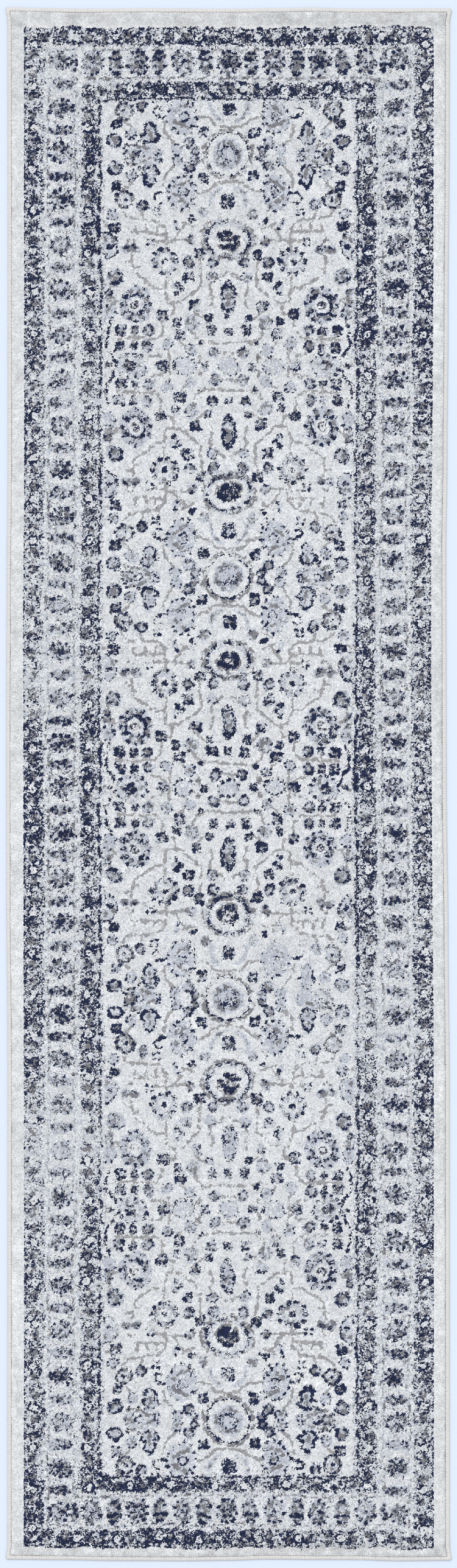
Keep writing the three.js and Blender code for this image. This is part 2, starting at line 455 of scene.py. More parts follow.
def petals(ink, name, level, u, v, count, reach, size, start=45.0, stretch=1.0):
    for k in range(count):
        angle = math.radians(start + 360 * k / count)
        blob(ink, name, level, u + reach * math.cos(angle), v + stretch * reach * math.sin(angle), size)


def navyRosette(ink, u, v, r):
    blob(ink, "silver", 0.7, u, v, r)
    petals(ink, "navy", 0.88, u, v, 4, 0.7 * r, 0.46 * r)
    petals(ink, "navy", 0.5, u, v, 4, 0.6 * r, 0.4 * r, 0.0)
    blob(ink, "taupe", 0.7, u, v, 0.5 * r)


def greyRosette(ink, u, v, r):
    blob(ink, "silver", 0.9, u, v, 1.05 * r)
    blob(ink, "taupe", 0.55, u, v, 0.9 * r)
    petals(ink, "navy", 0.76, u, v, 8, 0.74 * r, 0.28 * r, 22.5)


def paleRosette(ink, u, v, r):
    blob(ink, "silver", 0.85, u, v, r)
    petals(ink, "navy", 0.68, u, v, 8, 0.84 * r, 0.22 * r, 22.5)
    blob(ink, "taupe", 0.5, u, v, 0.42 * r)


def softRosette(ink, u, v, r):
    blob(ink, "silver", 0.7, u, v, r)
    blob(ink, "taupe", 0.5, u, v, 0.85 * r)
    petals(ink, "navy", 0.5, u, v, 6, 0.75 * r, 0.2 * r, 0.0)


def rimmedRosette(ink, u, v, r):
    ring(ink, "navy", 0.82, 0.42 * r, u, v, 0.76 * r)
    blob(ink, "taupe", 0.6, u, v, 0.6 * r)
    blob(ink, "silver", 0.8, u, v, r)


def dotCross(ink, u, v, r):
    blob(ink, "silver", 0.45, u, v, 0.9 * r)
    petals(ink, "navy", 0.8, u, v, 4, 0.8 * r, 0.38 * r)


def ringedRosette(ink, u, v, r):
    blob(ink, "silver", 0.55, u, v, r)
    petals(ink, "taupe", 0.75, u, v, 10, 0.82 * r, 0.22 * r, 18.0)
    petals(ink, "navy", 0.82, u, v, 10, 0.86 * r, 0.2 * r, 0.0)
    ring(ink, "taupe", 0.5, 2.4, u, v, 0.46 * r)
    blob(ink, "navy", 0.9, u, v, 0.22 * r)


# Rosettes of a quarter of the repeat: across from the rug's axis, and along from a medallion, in mm.
rosettes = {
    navyRosette: [
        (38, 33, 8.5), (165, 46, 8.5), (0, 67, 11), (168, 107, 8.5), (60, 182, 8.5), (49, 224, 9),
        (29, 241, 6.5), (98, 237, 9), (77, 248, 7), (25, 259, 8.5), (72, 266, 9), (0, 259, 7),
        (139, 260, 6.5), (160, 260, 9), (160, 284, 9), (139, 284, 6.5), (98, 312, 7.5), (36, 312, 7),
        (42, 148, 8.5), (77, 206, 4),
    ],
    greyRosette: [
        (50, 6, 7.5), (59, 18, 9), (129, 74, 9), (22, 160, 9), (59, 160, 9), (119, 260, 9), (119, 284, 9),
        (21, 292, 9), (168, 181, 13), (178, 204, 6),
    ],
    paleRosette: [
        (77, 8, 9), (144, 31, 9), (171, 88, 8.5), (24, 182, 9), (177, 232, 12), (57, 288, 9), (91, 280, 9),
        (97, 312, 9),
    ],
    softRosette: [(36, 86, 9), (55, 129, 8.5), (54, 248, 12), (178, 213, 7)],
    rimmedRosette: [(168, 20, 11.5)],
    dotCross: [(108, 83, 7), (116, 131, 7)],
    ringedRosette: [(154, 66, 14)],
}
greyVines = [
    [(0, 40), (20, 42), (30, 52), (46, 58)],
    [(80, 16), (90, 27), (94, 35), (95, 48)],
    [(144, 40), (148, 46), (157, 53)],
    [(130, 84), (128, 95), (105, 97), (93, 108), (92, 125), (92, 142)],
    [(135, 95), (150, 92), (156, 84)],
    [(50, 108), (62, 104), (68, 100)],
    [(62, 104), (72, 115), (80, 127), (112, 129)],
    [(56, 128), (84, 128)],
    [(94, 115), (141, 115)],
    [(108, 115), (108, 105)],
    [(123, 115), (123, 105)],
    [(138, 115), (138, 105)],
    [(42, 148), (42, 195), (70, 219), (90, 219), (94, 200), (93, 182)],
    [(94, 198), (108, 198), (122, 188), (139, 176), (142, 150)],
    [(133, 167), (141, 168)],
    [(141, 160), (152, 157)],
    [(4, 176), (26, 190), (28, 200), (24, 210), (27, 224)],
    [(80, 221), (82, 237), (96, 236)],
    [(98, 242), (98, 262), (108, 272), (165, 272)],
    [(119, 262), (119, 282)],
    [(139, 262), (139, 282)],
    [(160, 262), (160, 282)],
    [(36, 242), (50, 231)],
    [(0, 277), (34, 277), (48, 270), (53, 258)],
    [(88, 288), (89, 312)],
    [(97, 302), (103, 297), (114, 297)],
    [(72, 276), (64, 284)],
    [(176, 190), (176, 222), (165, 216)],
    [(178, 206), (164, 218)],
    [(0, 292), (12, 292)],
    [(176, 104), (188, 104)],
    [(43, 296), (44, 306)],
]


# The larger motifs of the same quarter: shape, yarn, how full it is, then its place and measures in mm.
# A vine or a ring has its width before its place.
motifs = [
    # medallion
    (blob, "silver", 0.9, 0, 0, 23),
    (petals, "taupe", 0.6, 0, 0, 12, 17, 4.5, 15.0),
    (blob, "navy", 0.26, 0, 0, 17),
    (petals, "navy", 0.6, 0, 0, 10, 10.5, 2.6, 0.0),
    (ring, "taupe", 0.62, 5.5, 0, 0, 35.5),
    (ring, "navy", 0.8, 2.6, 0, 0, 31.8),
    (blob, "taupe", 0.7, 36, 8, 4, 8),
    # side palmette
    (petals, "navy", 0.6, 106, 4, 4, 4, 2.4),
    (blob, "silver", 0.8, 107, 3, 8, 9),
    (blob, "silver", 0.6, 132, 0, 24, 15),
    (vine, "taupe", 0.6, 6, [(112, 3), (122, 9), (134, 13), (150, 15)]),
    (ring, "navy", 0.7, 3, 131, 0, 5),
    (blob, "taupe", 0.6, 146, 2, 9, 7),
    (petals, "navy", 0.7, 147, 0, 6, 8, 2.6, 0.0),
    (blob, "navy", 0.6, 133, 19, 3.5),
    (blob, "navy", 0.6, 140, 15, 2.6),
    (blob, "navy", 0.6, 150, 15, 3.5),
    (blob, "navy", 0.6, 155, 9, 3),
    (blob, "navy", 0.6, 124, 17, 2.4),
    (blob, "navy", 0.6, 155, 2, 2.6),
    # leaf palmette
    (blob, "silver", 0.8, 117, 17, 9, 7),
    (blob, "silver", 0.8, 116, 26, 12, 9),
    (blob, "silver", 0.8, 116, 36, 10, 9),
    (blob, "silver", 0.8, 117, 45, 5.5, 8),
    (vine, "navy", 0.85, 4.4, [(108, 21), (112, 17), (121, 17), (126, 21), (129, 28), (123, 31), (125, 41),
                               (117, 48)]),
    (vine, "navy", 0.85, 4.4, [(108, 21), (103, 28), (109, 31), (107, 41), (117, 48)]),
    (vine, "taupe", 0.7, 6, [(116, 22), (116, 36)]),
    # fan palmette
    (blob, "silver", 0.72, 70, 57, 22, 27),
    *[(blob, "navy", 0.66, u, v, 2.9) for u, v in (
        (56, 34), (66, 31), (75, 34), (82, 41), (88, 50), (91, 57), (88, 66), (83, 74), (78, 81), (68, 84),
        (57, 84), (52, 75), (50, 65), (49, 55), (50, 44), (56, 44), (56, 70), (60, 78),
    )],
    (vine, "taupe", 0.7, 6.5, [(60, 40), (70, 45), (80, 51)]),
    (vine, "taupe", 0.7, 6.5, [(62, 74), (72, 70), (80, 63)]),
    (paleRosette, 67, 57, 8),
    (ring, "navy", 0.6, 3, 67, 57, 6.4),
    # curl
    (vine, "navy", 0.85, 4.5, [(93, 57), (104, 57)]),
    (ring, "navy", 0.75, 3.4, 104, 65, 6),
    (wipe, 98, 64, 4.5),
    (blob, "taupe", 0.3, 14, 52, 4, 3),
    (vine, "silver", 0.8, 7, [(12, 50), (22, 56), (27, 66), (27, 76)]),
    (vine, "taupe", 0.4, 4, [(14, 52), (23, 58), (27, 66), (27, 74)]),
    # barbs
    (blob, "navy", 0.9, 54, 96, 4.5, 6),
    (blob, "navy", 0.8, 48, 99, 3),
    (blob, "silver", 0.8, 77, 104, 5, 9, 20),
    (blob, "navy", 0.75, 78, 98, 2.6, 4, 20),
    (blob, "navy", 0.7, 74, 109, 4, 3.6, 20),
    (blob, "navy", 0.8, 55, 124, 2.4),
    (blob, "navy", 0.8, 55, 134, 2.4),
    # trefoil
    (vine, "taupe", 0.55, 4, [(135, 138), (140, 128), (144, 125), (148, 128), (153, 138)]),
    (blob, "silver", 0.9, 137, 141, 9, 7, -25),
    (blob, "silver", 0.9, 151, 141, 9, 7, 25),
    (blob, "taupe", 0.75, 137, 141, 7.5, 6, -25),
    (blob, "taupe", 0.75, 151, 141, 7.5, 6, 25),
    (blob, "navy", 0.6, 137, 138, 6, 3.2, -25),
    (blob, "navy", 0.6, 151, 138, 6, 3.2, 25),
    # edge flower
    (blob, "silver", 0.7, 184, 135, 21, 20),
    (ring, "navy", 0.62, 3.4, 184, 135, 19.5, 20),
    (blob, "taupe", 0.55, 169, 126, 6),
    (blob, "navy", 0.85, 175, 137, 5.5, 4.5),
    (blob, "navy", 0.85, 186, 147, 6, 5),
    (blob, "taupe", 0.6, 184, 125, 7, 5),
    # axis palmette
    (blob, "silver", 0.55, 0, 124, 39, 33),
    (ring, "taupe", 0.5, 7, 0, 124, 37, 30),
    (ring, "navy", 0.62, 4.4, 0, 124, 31, 26.5),
    (wipe, 0, 123, 24.5, 20),
    (blob, "taupe", 0.8, 0, 127, 19, 15),
    (petals, "navy", 0.92, 0, 124, 8, 12, 5.4, 22.5, 0.85),
    (blob, "navy", 0.5, 0, 126, 9, 9),
    (blob, "taupe", 0.75, 0, 149, 16, 6),
    (petals, "navy", 0.7, 0, 124, 10, 32, 3.2, 18.0, 0.86),
    # big flower
    (blob, "silver", 0.62, 94, 159, 20, 19),
    (petals, "navy", 0.72, 94, 158, 10, 18, 4.2, 0.0),
    (petals, "taupe", 0.45, 94, 158, 10, 13, 3.4, 18.0),
    (wipe, 94, 158, 8),
    (blob, "navy", 0.95, 94, 158, 4.6),
    # upright palmette
    (blob, "silver", 0.8, 0, 214, 12.5, 25),
    (ring, "navy", 0.78, 5, 0, 213, 9.5, 21),
    (blob, "taupe", 0.6, 0, 213, 6, 15),
    (blob, "navy", 0.8, 0, 238, 6, 4),
    (petals, "navy", 0.85, 0, 213, 2, 7, 4, 0.0),
    # navy leaf
    (blob, "navy", 0.9, 76, 192, 4.5, 5.5, 30),
    (blob, "navy", 0.8, 70, 198, 5, 4.5, -30),
    (blob, "silver", 0.6, 74, 197, 9),
    # big palmette
    (blob, "silver", 0.85, 137, 222, 25, 29),
    (petals, "taupe", 0.6, 137, 222, 8, 18, 5, 22.5, 1.15),
    (petals, "navy", 0.8, 137, 222, 12, 22, 3.4, 0.0, 1.18),
    (ring, "navy", 0.72, 4.6, 137, 222, 14.5, 15.5),
    (petals, "navy", 0.9, 140, 222, 4, 17, 4.2),
    (wipe, 138, 222, 10, 11),
    (ring, "taupe", 0.85, 3, 138, 222, 5.6),
    (ring, "navy", 0.6, 2.4, 138, 222, 5.2),
    (blob, "navy", 0.8, 138, 222, 2.4),
    # midline flowers
    (blob, "silver", 0.7, 0, 312, 17, 14),
    (petals, "navy", 0.72, 0, 312, 10, 14.5, 2.9, 18.0, 0.9),
    (blob, "taupe", 0.6, 45, 301, 4.5),
    (blob, "silver", 0.6, 67, 312, 17, 13),
    (petals, "navy", 0.62, 67, 312, 12, 15.5, 3, 15.0, 0.8),
    (blob, "silver", 0.6, 143, 312, 24, 20),
    (petals, "navy", 0.72, 143, 312, 12, 22, 3.4, 15.0, 0.82),
    (petals, "taupe", 0.45, 143, 312, 6, 13, 4, 0.0),
    (blob, "taupe", 0.7, 145, 312, 10, 9),
    (petals, "navy", 0.8, 145, 312, 6, 5.5, 3.6, 0.0),
    (blob, "taupe", 0.6, 178, 312, 9, 5),
    (blob, "navy", 0.6, 176, 312, 6, 3),
    (vine, "navy", 0.75, 4.6, [(174, 247), (180, 262), (181, 283), (170, 297), (168, 304)]),
    (blob, "navy", 0.8, 42, 278, 5.5, 4, -20),
]


def drawField(u, v):
    ink = startInk(u, v)
    for points in greyVines:
        vine(ink, "grey", 0.84, 4.4, points)
    for shape, *values in motifs:
        shape(ink, *values)
    for drawRosette, places in rosettes.items():
        for place in places:
            drawRosette(ink, *place)
    return ink


# Where each line and band of the border starts: from the axis at the sides, and from the middle at the ends.
bandStops = [
    ("field", 0, 0),
    ("fieldStripe", 183.5, 1014.5),
    ("innerLine", 188, 1017.4),
    ("innerLight", 192.2, 1020.2),
    ("innerGuard", 194.5, 1021.5),
    ("innerStripe", 218.3, 1042.5),
    ("greyLineA", 226.5, 1046.5),
    ("mainBorder", 229.5, 1050),
    ("greyLineB", 264, 1090),
    ("outerStripe", 266.8, 1092),
    ("outerGuard", 272.4, 1097),
    ("outerLine", 299.6, 1121.4),
    ("plain", 302.6, 1124.6),
    ("edge", 335, 1155),
]
# How full navy, taupe and silver are under the motifs of each band.
bandYarns = {
    "fieldStripe": (0.18, 0.17, 0.42),
    "innerLine": (0.72, 0.5, 0.6),
    "innerLight": (0.28, 0.22, 0.45),
    "innerStripe": (0.14, 0.16, 0.4),
    "greyLineA": (0.16, 0.46, 0.6),
    "greyLineB": (0.16, 0.46, 0.6),
    "outerStripe": (0.14, 0.16, 0.38),
    "outerLine": (0.62, 0.3, 0.5),
    "plain": (0.0, 0.0, 0.0),
}
guardYarns = (0.4, 0.25, 0.5)
sideYarns = (0.13, 0.15, 0.33)
endYarns = (0.11, 0.12, 0.29)
borderMiddle = {"side": 247.0, "end": 1070.5, "pitch": 67.0, "corner": 251.0}
# middle line of each guard along the sides and ends, and its rosettes across the ends
guards = {
    "innerGuard": (206.5, 1032, [22, 85, 146, 205]),
    "outerGuard": (288, 1110, [43, 103, 165, 225, 288]),
}
guardPitch = 61


def borderRosette(ink, dark, reachU, reachV):
    blob(ink, "silver", 0.75, 0, 0, reachU, reachV)
    blob(ink, "taupe", 0.3, 0, 0, 0.85 * reachU, 0.85 * reachV)
    petals(ink, "navy", 0.78 if dark else 0.66, 0, 0, 10, 0.9 * reachU, 3.2, 18.0, reachV / reachU)
    petals(ink, "taupe", 0.62, 0, 0, 8, 0.66 * reachU, 3.6, 0.0, reachV / reachU)
    petals(ink, "navy", 0.66 if dark else 0.34, 0, 0, 6, 0.45 * reachU, 3.2, 0.0, reachV / reachU)
    blob(ink, "navy", 0.85 if dark else 0.6, 0, 0, 4.6 if dark else 3.2)
    if dark:
        blob(ink, "taupe", 0.7, 0, 0, 0.6 * reachU, 0.6 * reachV)


def startBand(u, v, yarns):
    # an even mix of yarns, for motifs to be laid on
    part = startInk(u, v)
    for name, level in zip(("navy", "taupe", "silver"), yarns):
        part[name] += level
    return part


def putOver(ink, part, rows):
    for name in inkNames:
        ink[name][rows] = part[name]


def drawBar(ink, middleU, middleV, halfU, halfV):
    # a short woven bar between two rosettes
    blob(ink, "silver", 0.8, middleU, middleV, 1.2 * halfU, 1.2 * halfV)
    blob(ink, "taupe", 0.5, middleU, middleV, halfU, halfV)
    blob(ink, "navy", 0.5, middleU, middleV, 0.5 * halfU, 0.4 * halfV)
    petals(ink, "navy", 0.74, middleU, middleV, 8, 0.78 * halfU, 2.7, 22.5, halfV / halfU)


def drawSideBorder(ink, rows):
    # rosettes and bars up the long sides of the main border
    y = ink["v"][rows]
    across = ink["u"][rows] - borderMiddle["side"]
    pitch = borderMiddle["pitch"]
    cell = np.round(y / pitch)
    along = y - cell * pitch
    part = startInk(across, np.abs(along))
    for dark in (True, False):
        chosen = (np.abs(cell) % 2 == 0) != dark
        piece = startBand(across[chosen], np.abs(along[chosen]), sideYarns)
        borderRosette(piece, dark, 17, 14)
        drawBar(piece, 0, pitch / 2, 18.5, 7.2)
        putOver(part, piece, chosen)
    putOver(ink, part, rows)


def drawEndBorder(ink, rows):
    # rosettes and upright palmettes across the head and foot of the main border
    x = ink["u"][rows]
    rise = ink["v"][rows] - borderMiddle["end"]
    part = startBand(x, rise, endYarns)
    pitch = borderMiddle["pitch"]
    middles = [(index * pitch, index % 2 == 0) for index in range(4)] + [(borderMiddle["corner"], True)]
    for middle, dark in middles:
        near = np.abs(x - middle) < 18.5
        piece = startInk(x[near] - middle, rise[near])
        for name in inkNames:
            piece[name] += part[name][near]
        borderRosette(piece, dark, 16, 20)
        putOver(part, piece, near)
    for middle in (34, 101, 167):
        blob(part, "silver", 0.8, middle, 0, 11.5, 20.5)
        blob(part, "taupe", 0.6, middle, 0, 9.5, 19)
        petals(part, "navy", 0.72, middle, 0, 8, 8.5, 3.6, 22.5, 1.95)
        blob(part, "navy", 0.8, middle, 5, 7, 3)
    drawBar(part, 228, 0, 5, 15)
    putOver(ink, part, rows)


def drawGuard(ink, rows, along, across, rosetteMiddles):
    # a dense speckle with small light rosettes ringed in navy
    part = startBand(along, across, guardYarns)
    for middle in rosetteMiddles:
        wipe(part, middle, 0, 6.8)
        ring(part, "navy", 0.95, 3.2, middle, 0, 6.8)
        blob(part, "silver", 0.35, middle, 0, 5)
        blob(part, "navy", 0.6, middle, 0, 1.6)
        for side in (-17, 17):
            blob(part, "taupe", 0.95, middle + side, 0, 7, 7)
            petals(part, "navy", 0.7, middle + side, 0, 3, 6, 2.8)
    putOver(ink, part, rows)


def bandPosition(x, y):
    # position among the band stops, the same round all four sides
    stops = np.arange(len(bandStops))
    side = np.interp(x, [stop[1] for stop in bandStops], stops)
    end = np.interp(y, [stop[2] for stop in bandStops], stops)
    return np.maximum(side, end), side >= end


def drawBorders(ink):
    x, y = ink["u"], ink["v"]
    position, onSide = bandPosition(x, y)
    index = {name: k for k, (name, _, _) in enumerate(bandStops)}

    def inBand(name):
        return (position >= index[name]) & (position < index[name] + 1)

    for name, yarns in bandYarns.items():
        rows = inBand(name)
        putOver(ink, startBand(x[rows], y[rows], yarns), rows)
    drawSideBorder(ink, inBand("mainBorder") & onSide)
    drawEndBorder(ink, inBand("mainBorder") & ~onSide)
    for name, (middleX, middleY, endRosettes) in guards.items():
        rows = inBand(name) & onSide
        along = np.abs((y[rows] + guardPitch / 2) % guardPitch - guardPitch / 2)
        drawGuard(ink, rows, along, x[rows] - middleX, [0])
        rows = inBand(name) & ~onSide
        drawGuard(ink, rows, x[rows], y[rows] - middleY, endRosettes)


# Wear, where the design is thinned on purpose so that the ivory yarn shows through it, and painted shade and
# light on the pile.
wearAndPaintedShade = {
    "patches": [  # x, y, reach across, reach along, change in ink
        (0, -490, 190, 80, -0.42), (0, 490, 190, 50, -0.2), (60, 330, 120, 60, -0.14),
        (-60, 20, 120, 60, 0.1),
        (0, 1060, 330, 90, 0.3), (0, 830, 200, 130, 0.16), (0, -1115, 300, 16, 0.3), (0, -840, 190, 80, -0.1),
        (0, 1109, 320, 9, 0.2), (0, 1093, 330, 6, 0.15), (0, 1082, 330, 6, 0.3), (0, -1088, 330, 10, 0.35),
        (-288, 340, 20, 90, -0.15), (-288, -280, 20, 70, -0.15), (-288, -740, 25, 140, -0.38),
        (288, -80, 20, 90, -0.12), (288, -740, 25, 140, -0.42), (206, -840, 25, 70, -0.6),
        (206, -60, 20, 120, 0.1),
        (-206, 840, 25, 90, 0.24), (-206, 370, 25, 110, -0.15), (-206, -740, 25, 110, 0.15),
        (-247, -90, 22, 90, 0.3), (247, 470, 22, 70, 0.2), (-247, 90, 22, 70, 0.15), (247, 90, 22, 70, 0.2),
    ],
    "cloud": 0.16,
    "streak": 0.17,
    "bite": 0.38,
    "drift": (1.1, 0.9),  # how far the design wanders, slowly and raggedly, in mm
    "headSlip": (3.5, 1068, 22),  # the head border was woven further out: by how much, where and over how far
    "steadyOver": 6,  # the wandering dies out over this distance inside the design's straight edge
    "leastYarn": {"navy": 0.07, "taupe": 0.09, "silver": 0.24},  # stray tufts in the design's bare ground
    "fullNavy": 0.6,  # past this only half counts, so that even the fullest shapes are not solid navy
    # painted light: the open rim of the pile is painted lighter, against the shade of its steep slope
    "paintedRimLight": (0.12, 2.2),  # how much lighter the open rim is, and over how far
    "marginStart": 1119,
    "marginOver": (4, 6),  # how far the margins' shade takes to come in, at the sides and at the ends
    # painted shade: the head and foot margins are painted darker
    "paintedMarginShade": (0.13, 0.09),  # head, foot
}
mottleNoise = softNoise(18, 3.4, 3.4, 2)
biteNoise = softNoise(13, 2.0, 1.7, 1.5)
driftNoiseX = softNoise(14, 14, 14, 4)
driftNoiseY = softNoise(15, 14, 14, 4)
raggedNoiseX = softNoise(16, 2.0, 2.0, 1.5)
raggedNoiseY = softNoise(17, 2.0, 2.0, 1.5)
cloudNoise = softNoise(11, 70, 45, 6)
streakNoise = softNoise(12, 38, 3.2, 2)
designMiddleY = 0.5 * (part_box("pile_field")[0].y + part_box("pile_field")[1].y) / mm
repeatHalf = 312.0


def wearAt(x, y):
    change = 1 + wearAndPaintedShade["cloud"] * sample(cloudNoise, x, y) + wearAndPaintedShade["streak"] * sample(streakNoise, x, y)
    for middleX, middleY, reachX, reachY, amount in wearAndPaintedShade["patches"]:
        away = np.hypot((x - middleX) / reachX, (y - middleY) / reachY)
        change += amount * np.exp(-0.7 * away * away)
    return np.clip(change, 0.2, 1.5)


def inkAt(x, y):
    # Ink levels at points of the straight rug, in mm from its middle.
    drift = wearAndPaintedShade["drift"]
    sideways = drift[0] * sample(driftNoiseX, x, y) + drift[1] * sample(raggedNoiseX, x, y)
    onward = drift[0] * sample(driftNoiseY, x, y) + drift[1] * sample(raggedNoiseY, x, y)
    inside = np.clip((designReach - np.abs(x)) / wearAndPaintedShade["steadyOver"], 0, 1)
    u = np.abs(x + sideways * inside)
    slip, slipAt, slipOver = wearAndPaintedShade["headSlip"]
    along = y + onward - designMiddleY - slip * np.exp(-(((y - slipAt) / slipOver) ** 2))
    v = np.abs(along % (2 * repeatHalf) - repeatHalf)
    ink = startInk(u, np.abs(along))
    inField = (u < bandStops[1][1]) & (np.abs(along) < bandStops[1][2])
    putOver(ink, drawField(u[inField], v[inField]), inField)
    drawBorders(ink)
    change = wearAt(x, y)
    bite = np.clip(1 + wearAndPaintedShade["bite"] * sample(biteNoise, x, y), 0.2, 1.6)
    designed = (u < designReach) & (np.abs(along) < bandStops[-2][2])
    ink["navy"] = 1.08 * ink["navy"]
    for name, least in wearAndPaintedShade["leastYarn"].items():
        ink[name] = np.maximum(ink[name], least * designed)
    full = wearAndPaintedShade["fullNavy"]
    navy = ink["navy"] * change * bite
    return {
        "navyInk": np.minimum(navy, full + 0.5 * (navy - full)),
        "taupeInk": ink["taupe"] * (0.4 + 0.6 * change) * bite,
        "greyInk": ink["grey"] * (0.5 + 0.5 * change),
        "silverInk": ink["silver"],
        "paintedShadeAndTone": paintedShadeAndToneAt(x, y),
    }


def paintedShadeAndToneAt(x, y):
    # Painted shade and painted light in the pile's colour: the head and foot margins are painted darker, as
    # pile that leans away from the light looks, the open rim is painted lighter, then soft random patches of
    # tone.
    sideOver, endOver = wearAndPaintedShade["marginOver"]
    outside = np.clip((np.abs(y) - wearAndPaintedShade["marginStart"]) / endOver, 0, 1)
    beyond = np.clip((np.abs(x) - designReach) / sideOver, 0, 1)
    inward = np.minimum(pileReachX - np.abs(x), pileReachY - np.abs(y))
    lighter, rimOver = wearAndPaintedShade["paintedRimLight"]
    # painted light on the rim, against the shade of its steep slope
    rim = lighter * np.clip(1 - inward / rimOver, 0, 1)
    patches = 0.012 * sample(cloudNoise, x, y) + 0.012 * sample(streakNoise, x, y)
    patches += 0.03 * sample(mottleNoise, x, y)
    # painted shade on the head and foot margins
    margins = outside * np.where(y > 0, *wearAndPaintedShade["paintedMarginShade"])
    return 1 + rim - 0.03 * beyond + patches * (1 + outside + 0.6 * beyond) - margins


# The pile: one woven layer, made as sixteen tiles that meet without a gap.
pile = {
    "pitch": 2.0,  # distance between points of the surface, about one tuft
    "rimSteps": [0.0, 0.45, 1.1, 2.0, 3.2, 4.8],  # closer points over the rounded rim
    "rimRadius": 4.6,
    "rimRoundness": 0.96,
    "rimDrop": 0.9,
    "least": 0.8,  # the thinnest the pile gets
    "tuftRelief": 0.24,
    "rollRelief": 0.16,
    "headroom": 2.4,  # how far the mean surface is under the tallest tufts, in tuft reliefs
    "rimSplay": 1.1,  # the outermost tufts lean out to the serging
    "rimLean": 0.22,
    "rows": 4,
}
tuftNoise = softNoise(21, 1.5, 1.5, 1)
rollNoise = softNoise(22, 34, 34, 5)
leanNoise = softNoise(23, 4, 4, 2)


def gridLine(start, end, rimAtStart, rimAtEnd):
    rim = np.array(pile["rimSteps"])
    low = start + (rim[-1] if rimAtStart else 0)
    high = end - (rim[-1] if rimAtEnd else 0)
    inner = np.linspace(low, high, max(2, int(round((high - low) / pile["pitch"])) + 1))
    parts = [start + rim[:-1]] if rimAtStart else []
    parts.append(inner)
    if rimAtEnd:
        parts.append((end - rim[:-1])[::-1])
    return np.concatenate(parts)


def pileSurface(x, y):
    # Height of the cut surface, rounded down at the rug's own rim.
    inward = np.minimum(pileReachX - np.abs(x), pileReachY - np.abs(y))
    radius = pile["rimRadius"]
    fall = np.clip(radius - inward, 0, radius)
    drop = radius - np.sqrt(radius * radius - fall * fall * pile["rimRoundness"])
    relief = pile["tuftRelief"] * sample(tuftNoise, x, y) + pile["rollRelief"] * sample(rollNoise, x, y)
    level = pileTop - pile["tuftRelief"] * pile["headroom"] - drop * pile["rimDrop"]
    return np.clip(level + relief, pileBottom + pile["least"], pileTop)


def pileTile(name, x0, x1, y0, y1):
    reachX, reachY = pileReachX - 0.01, pileReachY - 0.01
    xs = gridLine(x0, x1, x0 < -reachX, x1 > reachX)
    ys = gridLine(y0, y1, y0 < -reachY, y1 > reachY)
    x, y = (a.ravel() for a in np.meshgrid(xs, ys))
    top = np.stack([x, y, pileSurface(x, y)], 1)
    columns, rows = len(xs), len(ys)
    index = np.arange(columns * rows).reshape(rows, columns)
    loop = np.concatenate([index[0, :-1], index[:-1, -1], index[-1, :0:-1], index[:0:-1, 0]])
    foot = top[loop].copy()
    foot[:, 2] = pileBottom
    atRim = (np.abs(top[:, 0]) > reachX) | (np.abs(top[:, 1]) > reachY)
    lean = (pile["rimSplay"] + pile["rimLean"] * sample(leanNoise, x, y)) * atRim
    top[:, 0] += lean * np.sign(x) * (np.abs(x) > reachX)
    top[:, 1] += lean * np.sign(y) * (np.abs(y) > reachY)
    points = laidOut(np.concatenate([top, foot]))

    quads = np.stack([index[:-1, :-1], index[:-1, 1:], index[1:, 1:], index[1:, :-1]], -1).reshape(-1, 4)
    count = len(loop)
    lower = len(top) + np.arange(count)
    following = np.roll(np.arange(count), -1)
    walls = np.stack([loop, lower, lower[following], loop[following]], -1)
    faces = quads.tolist() + walls.tolist() + [lower[::-1].tolist()]
    piece = makeMesh(name, points, faces, pileMaterial)

    mesh = piece.data
    for inkName, level in inkAt(x, y).items():
        layer = mesh.attributes.new(inkName, "FLOAT", "POINT")
        layer.data.foreach_set("value", np.concatenate([level, level[loop]]).astype(np.float32))
    ends = np.empty(len(mesh.edges) * 2, np.int32)
    mesh.edges.foreach_get("vertices", ends)
    ends = ends.reshape(-1, 2)
    onLoop = np.zeros(len(mesh.vertices), bool)
    onLoop[loop] = True
    inside = np.zeros(len(mesh.vertices), bool)
    inside[loop] = ~atRim[loop]
    sharp = (ends >= len(top)).all(1) | (onLoop[ends].all(1) & inside[ends].any(1))
    layer = mesh.attributes.new("sharp_edge", "BOOLEAN", "EDGE")
    layer.data.foreach_set("value", sharp)
    return piece


def coveredNodes(x0, x1, y0, y1):
    # the woven bands that a tile lies over
    found = []
    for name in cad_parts:
        if not name.startswith("pile_"):
            continue
        low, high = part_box(name)
        overX = min(x1, high.x / mm) - max(x0, low.x / mm)
        overY = min(y1, high.y / mm) - max(y0, low.y / mm)
        if overX > 1 and overY > 1:
            found.append(name)
    return found


def makePile():
    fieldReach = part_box("pile_field")[1].x / mm
    xs = [-pileReachX, -fieldReach, 0.0, fieldReach, pileReachX]
    ys = np.linspace(-pileReachY, pileReachY, pile["rows"] + 1)
    columns = ["left_border", "left_field", "right_field", "right_border"]
    tiles = []
    for column, name in enumerate(columns):
        for row in range(pile["rows"]):
            span = xs[column], xs[column + 1], ys[row], ys[row + 1]
            tile = pileTile(f"pile_{name}_{row + 1}", *span)
            settle(tile, "border_pile" if "border" in name else "field_pile", *coveredNodes(*span))
            tiles.append(tile)
    return tiles


pileTiles = makePile()
print("pile ready:", sum(len(tile.data.polygons) for tile in pileTiles), "faces")


# The woven ground and the latex under it.
ground = {
    "weftPitch": 2.6,
    "stufferPitch": 2.1,
    "rowsPerYarn": 4,
    "acrossStations": [-1, -0.982, -0.92, -0.45, 0, 0.45, 0.92, 0.982, 1],
}


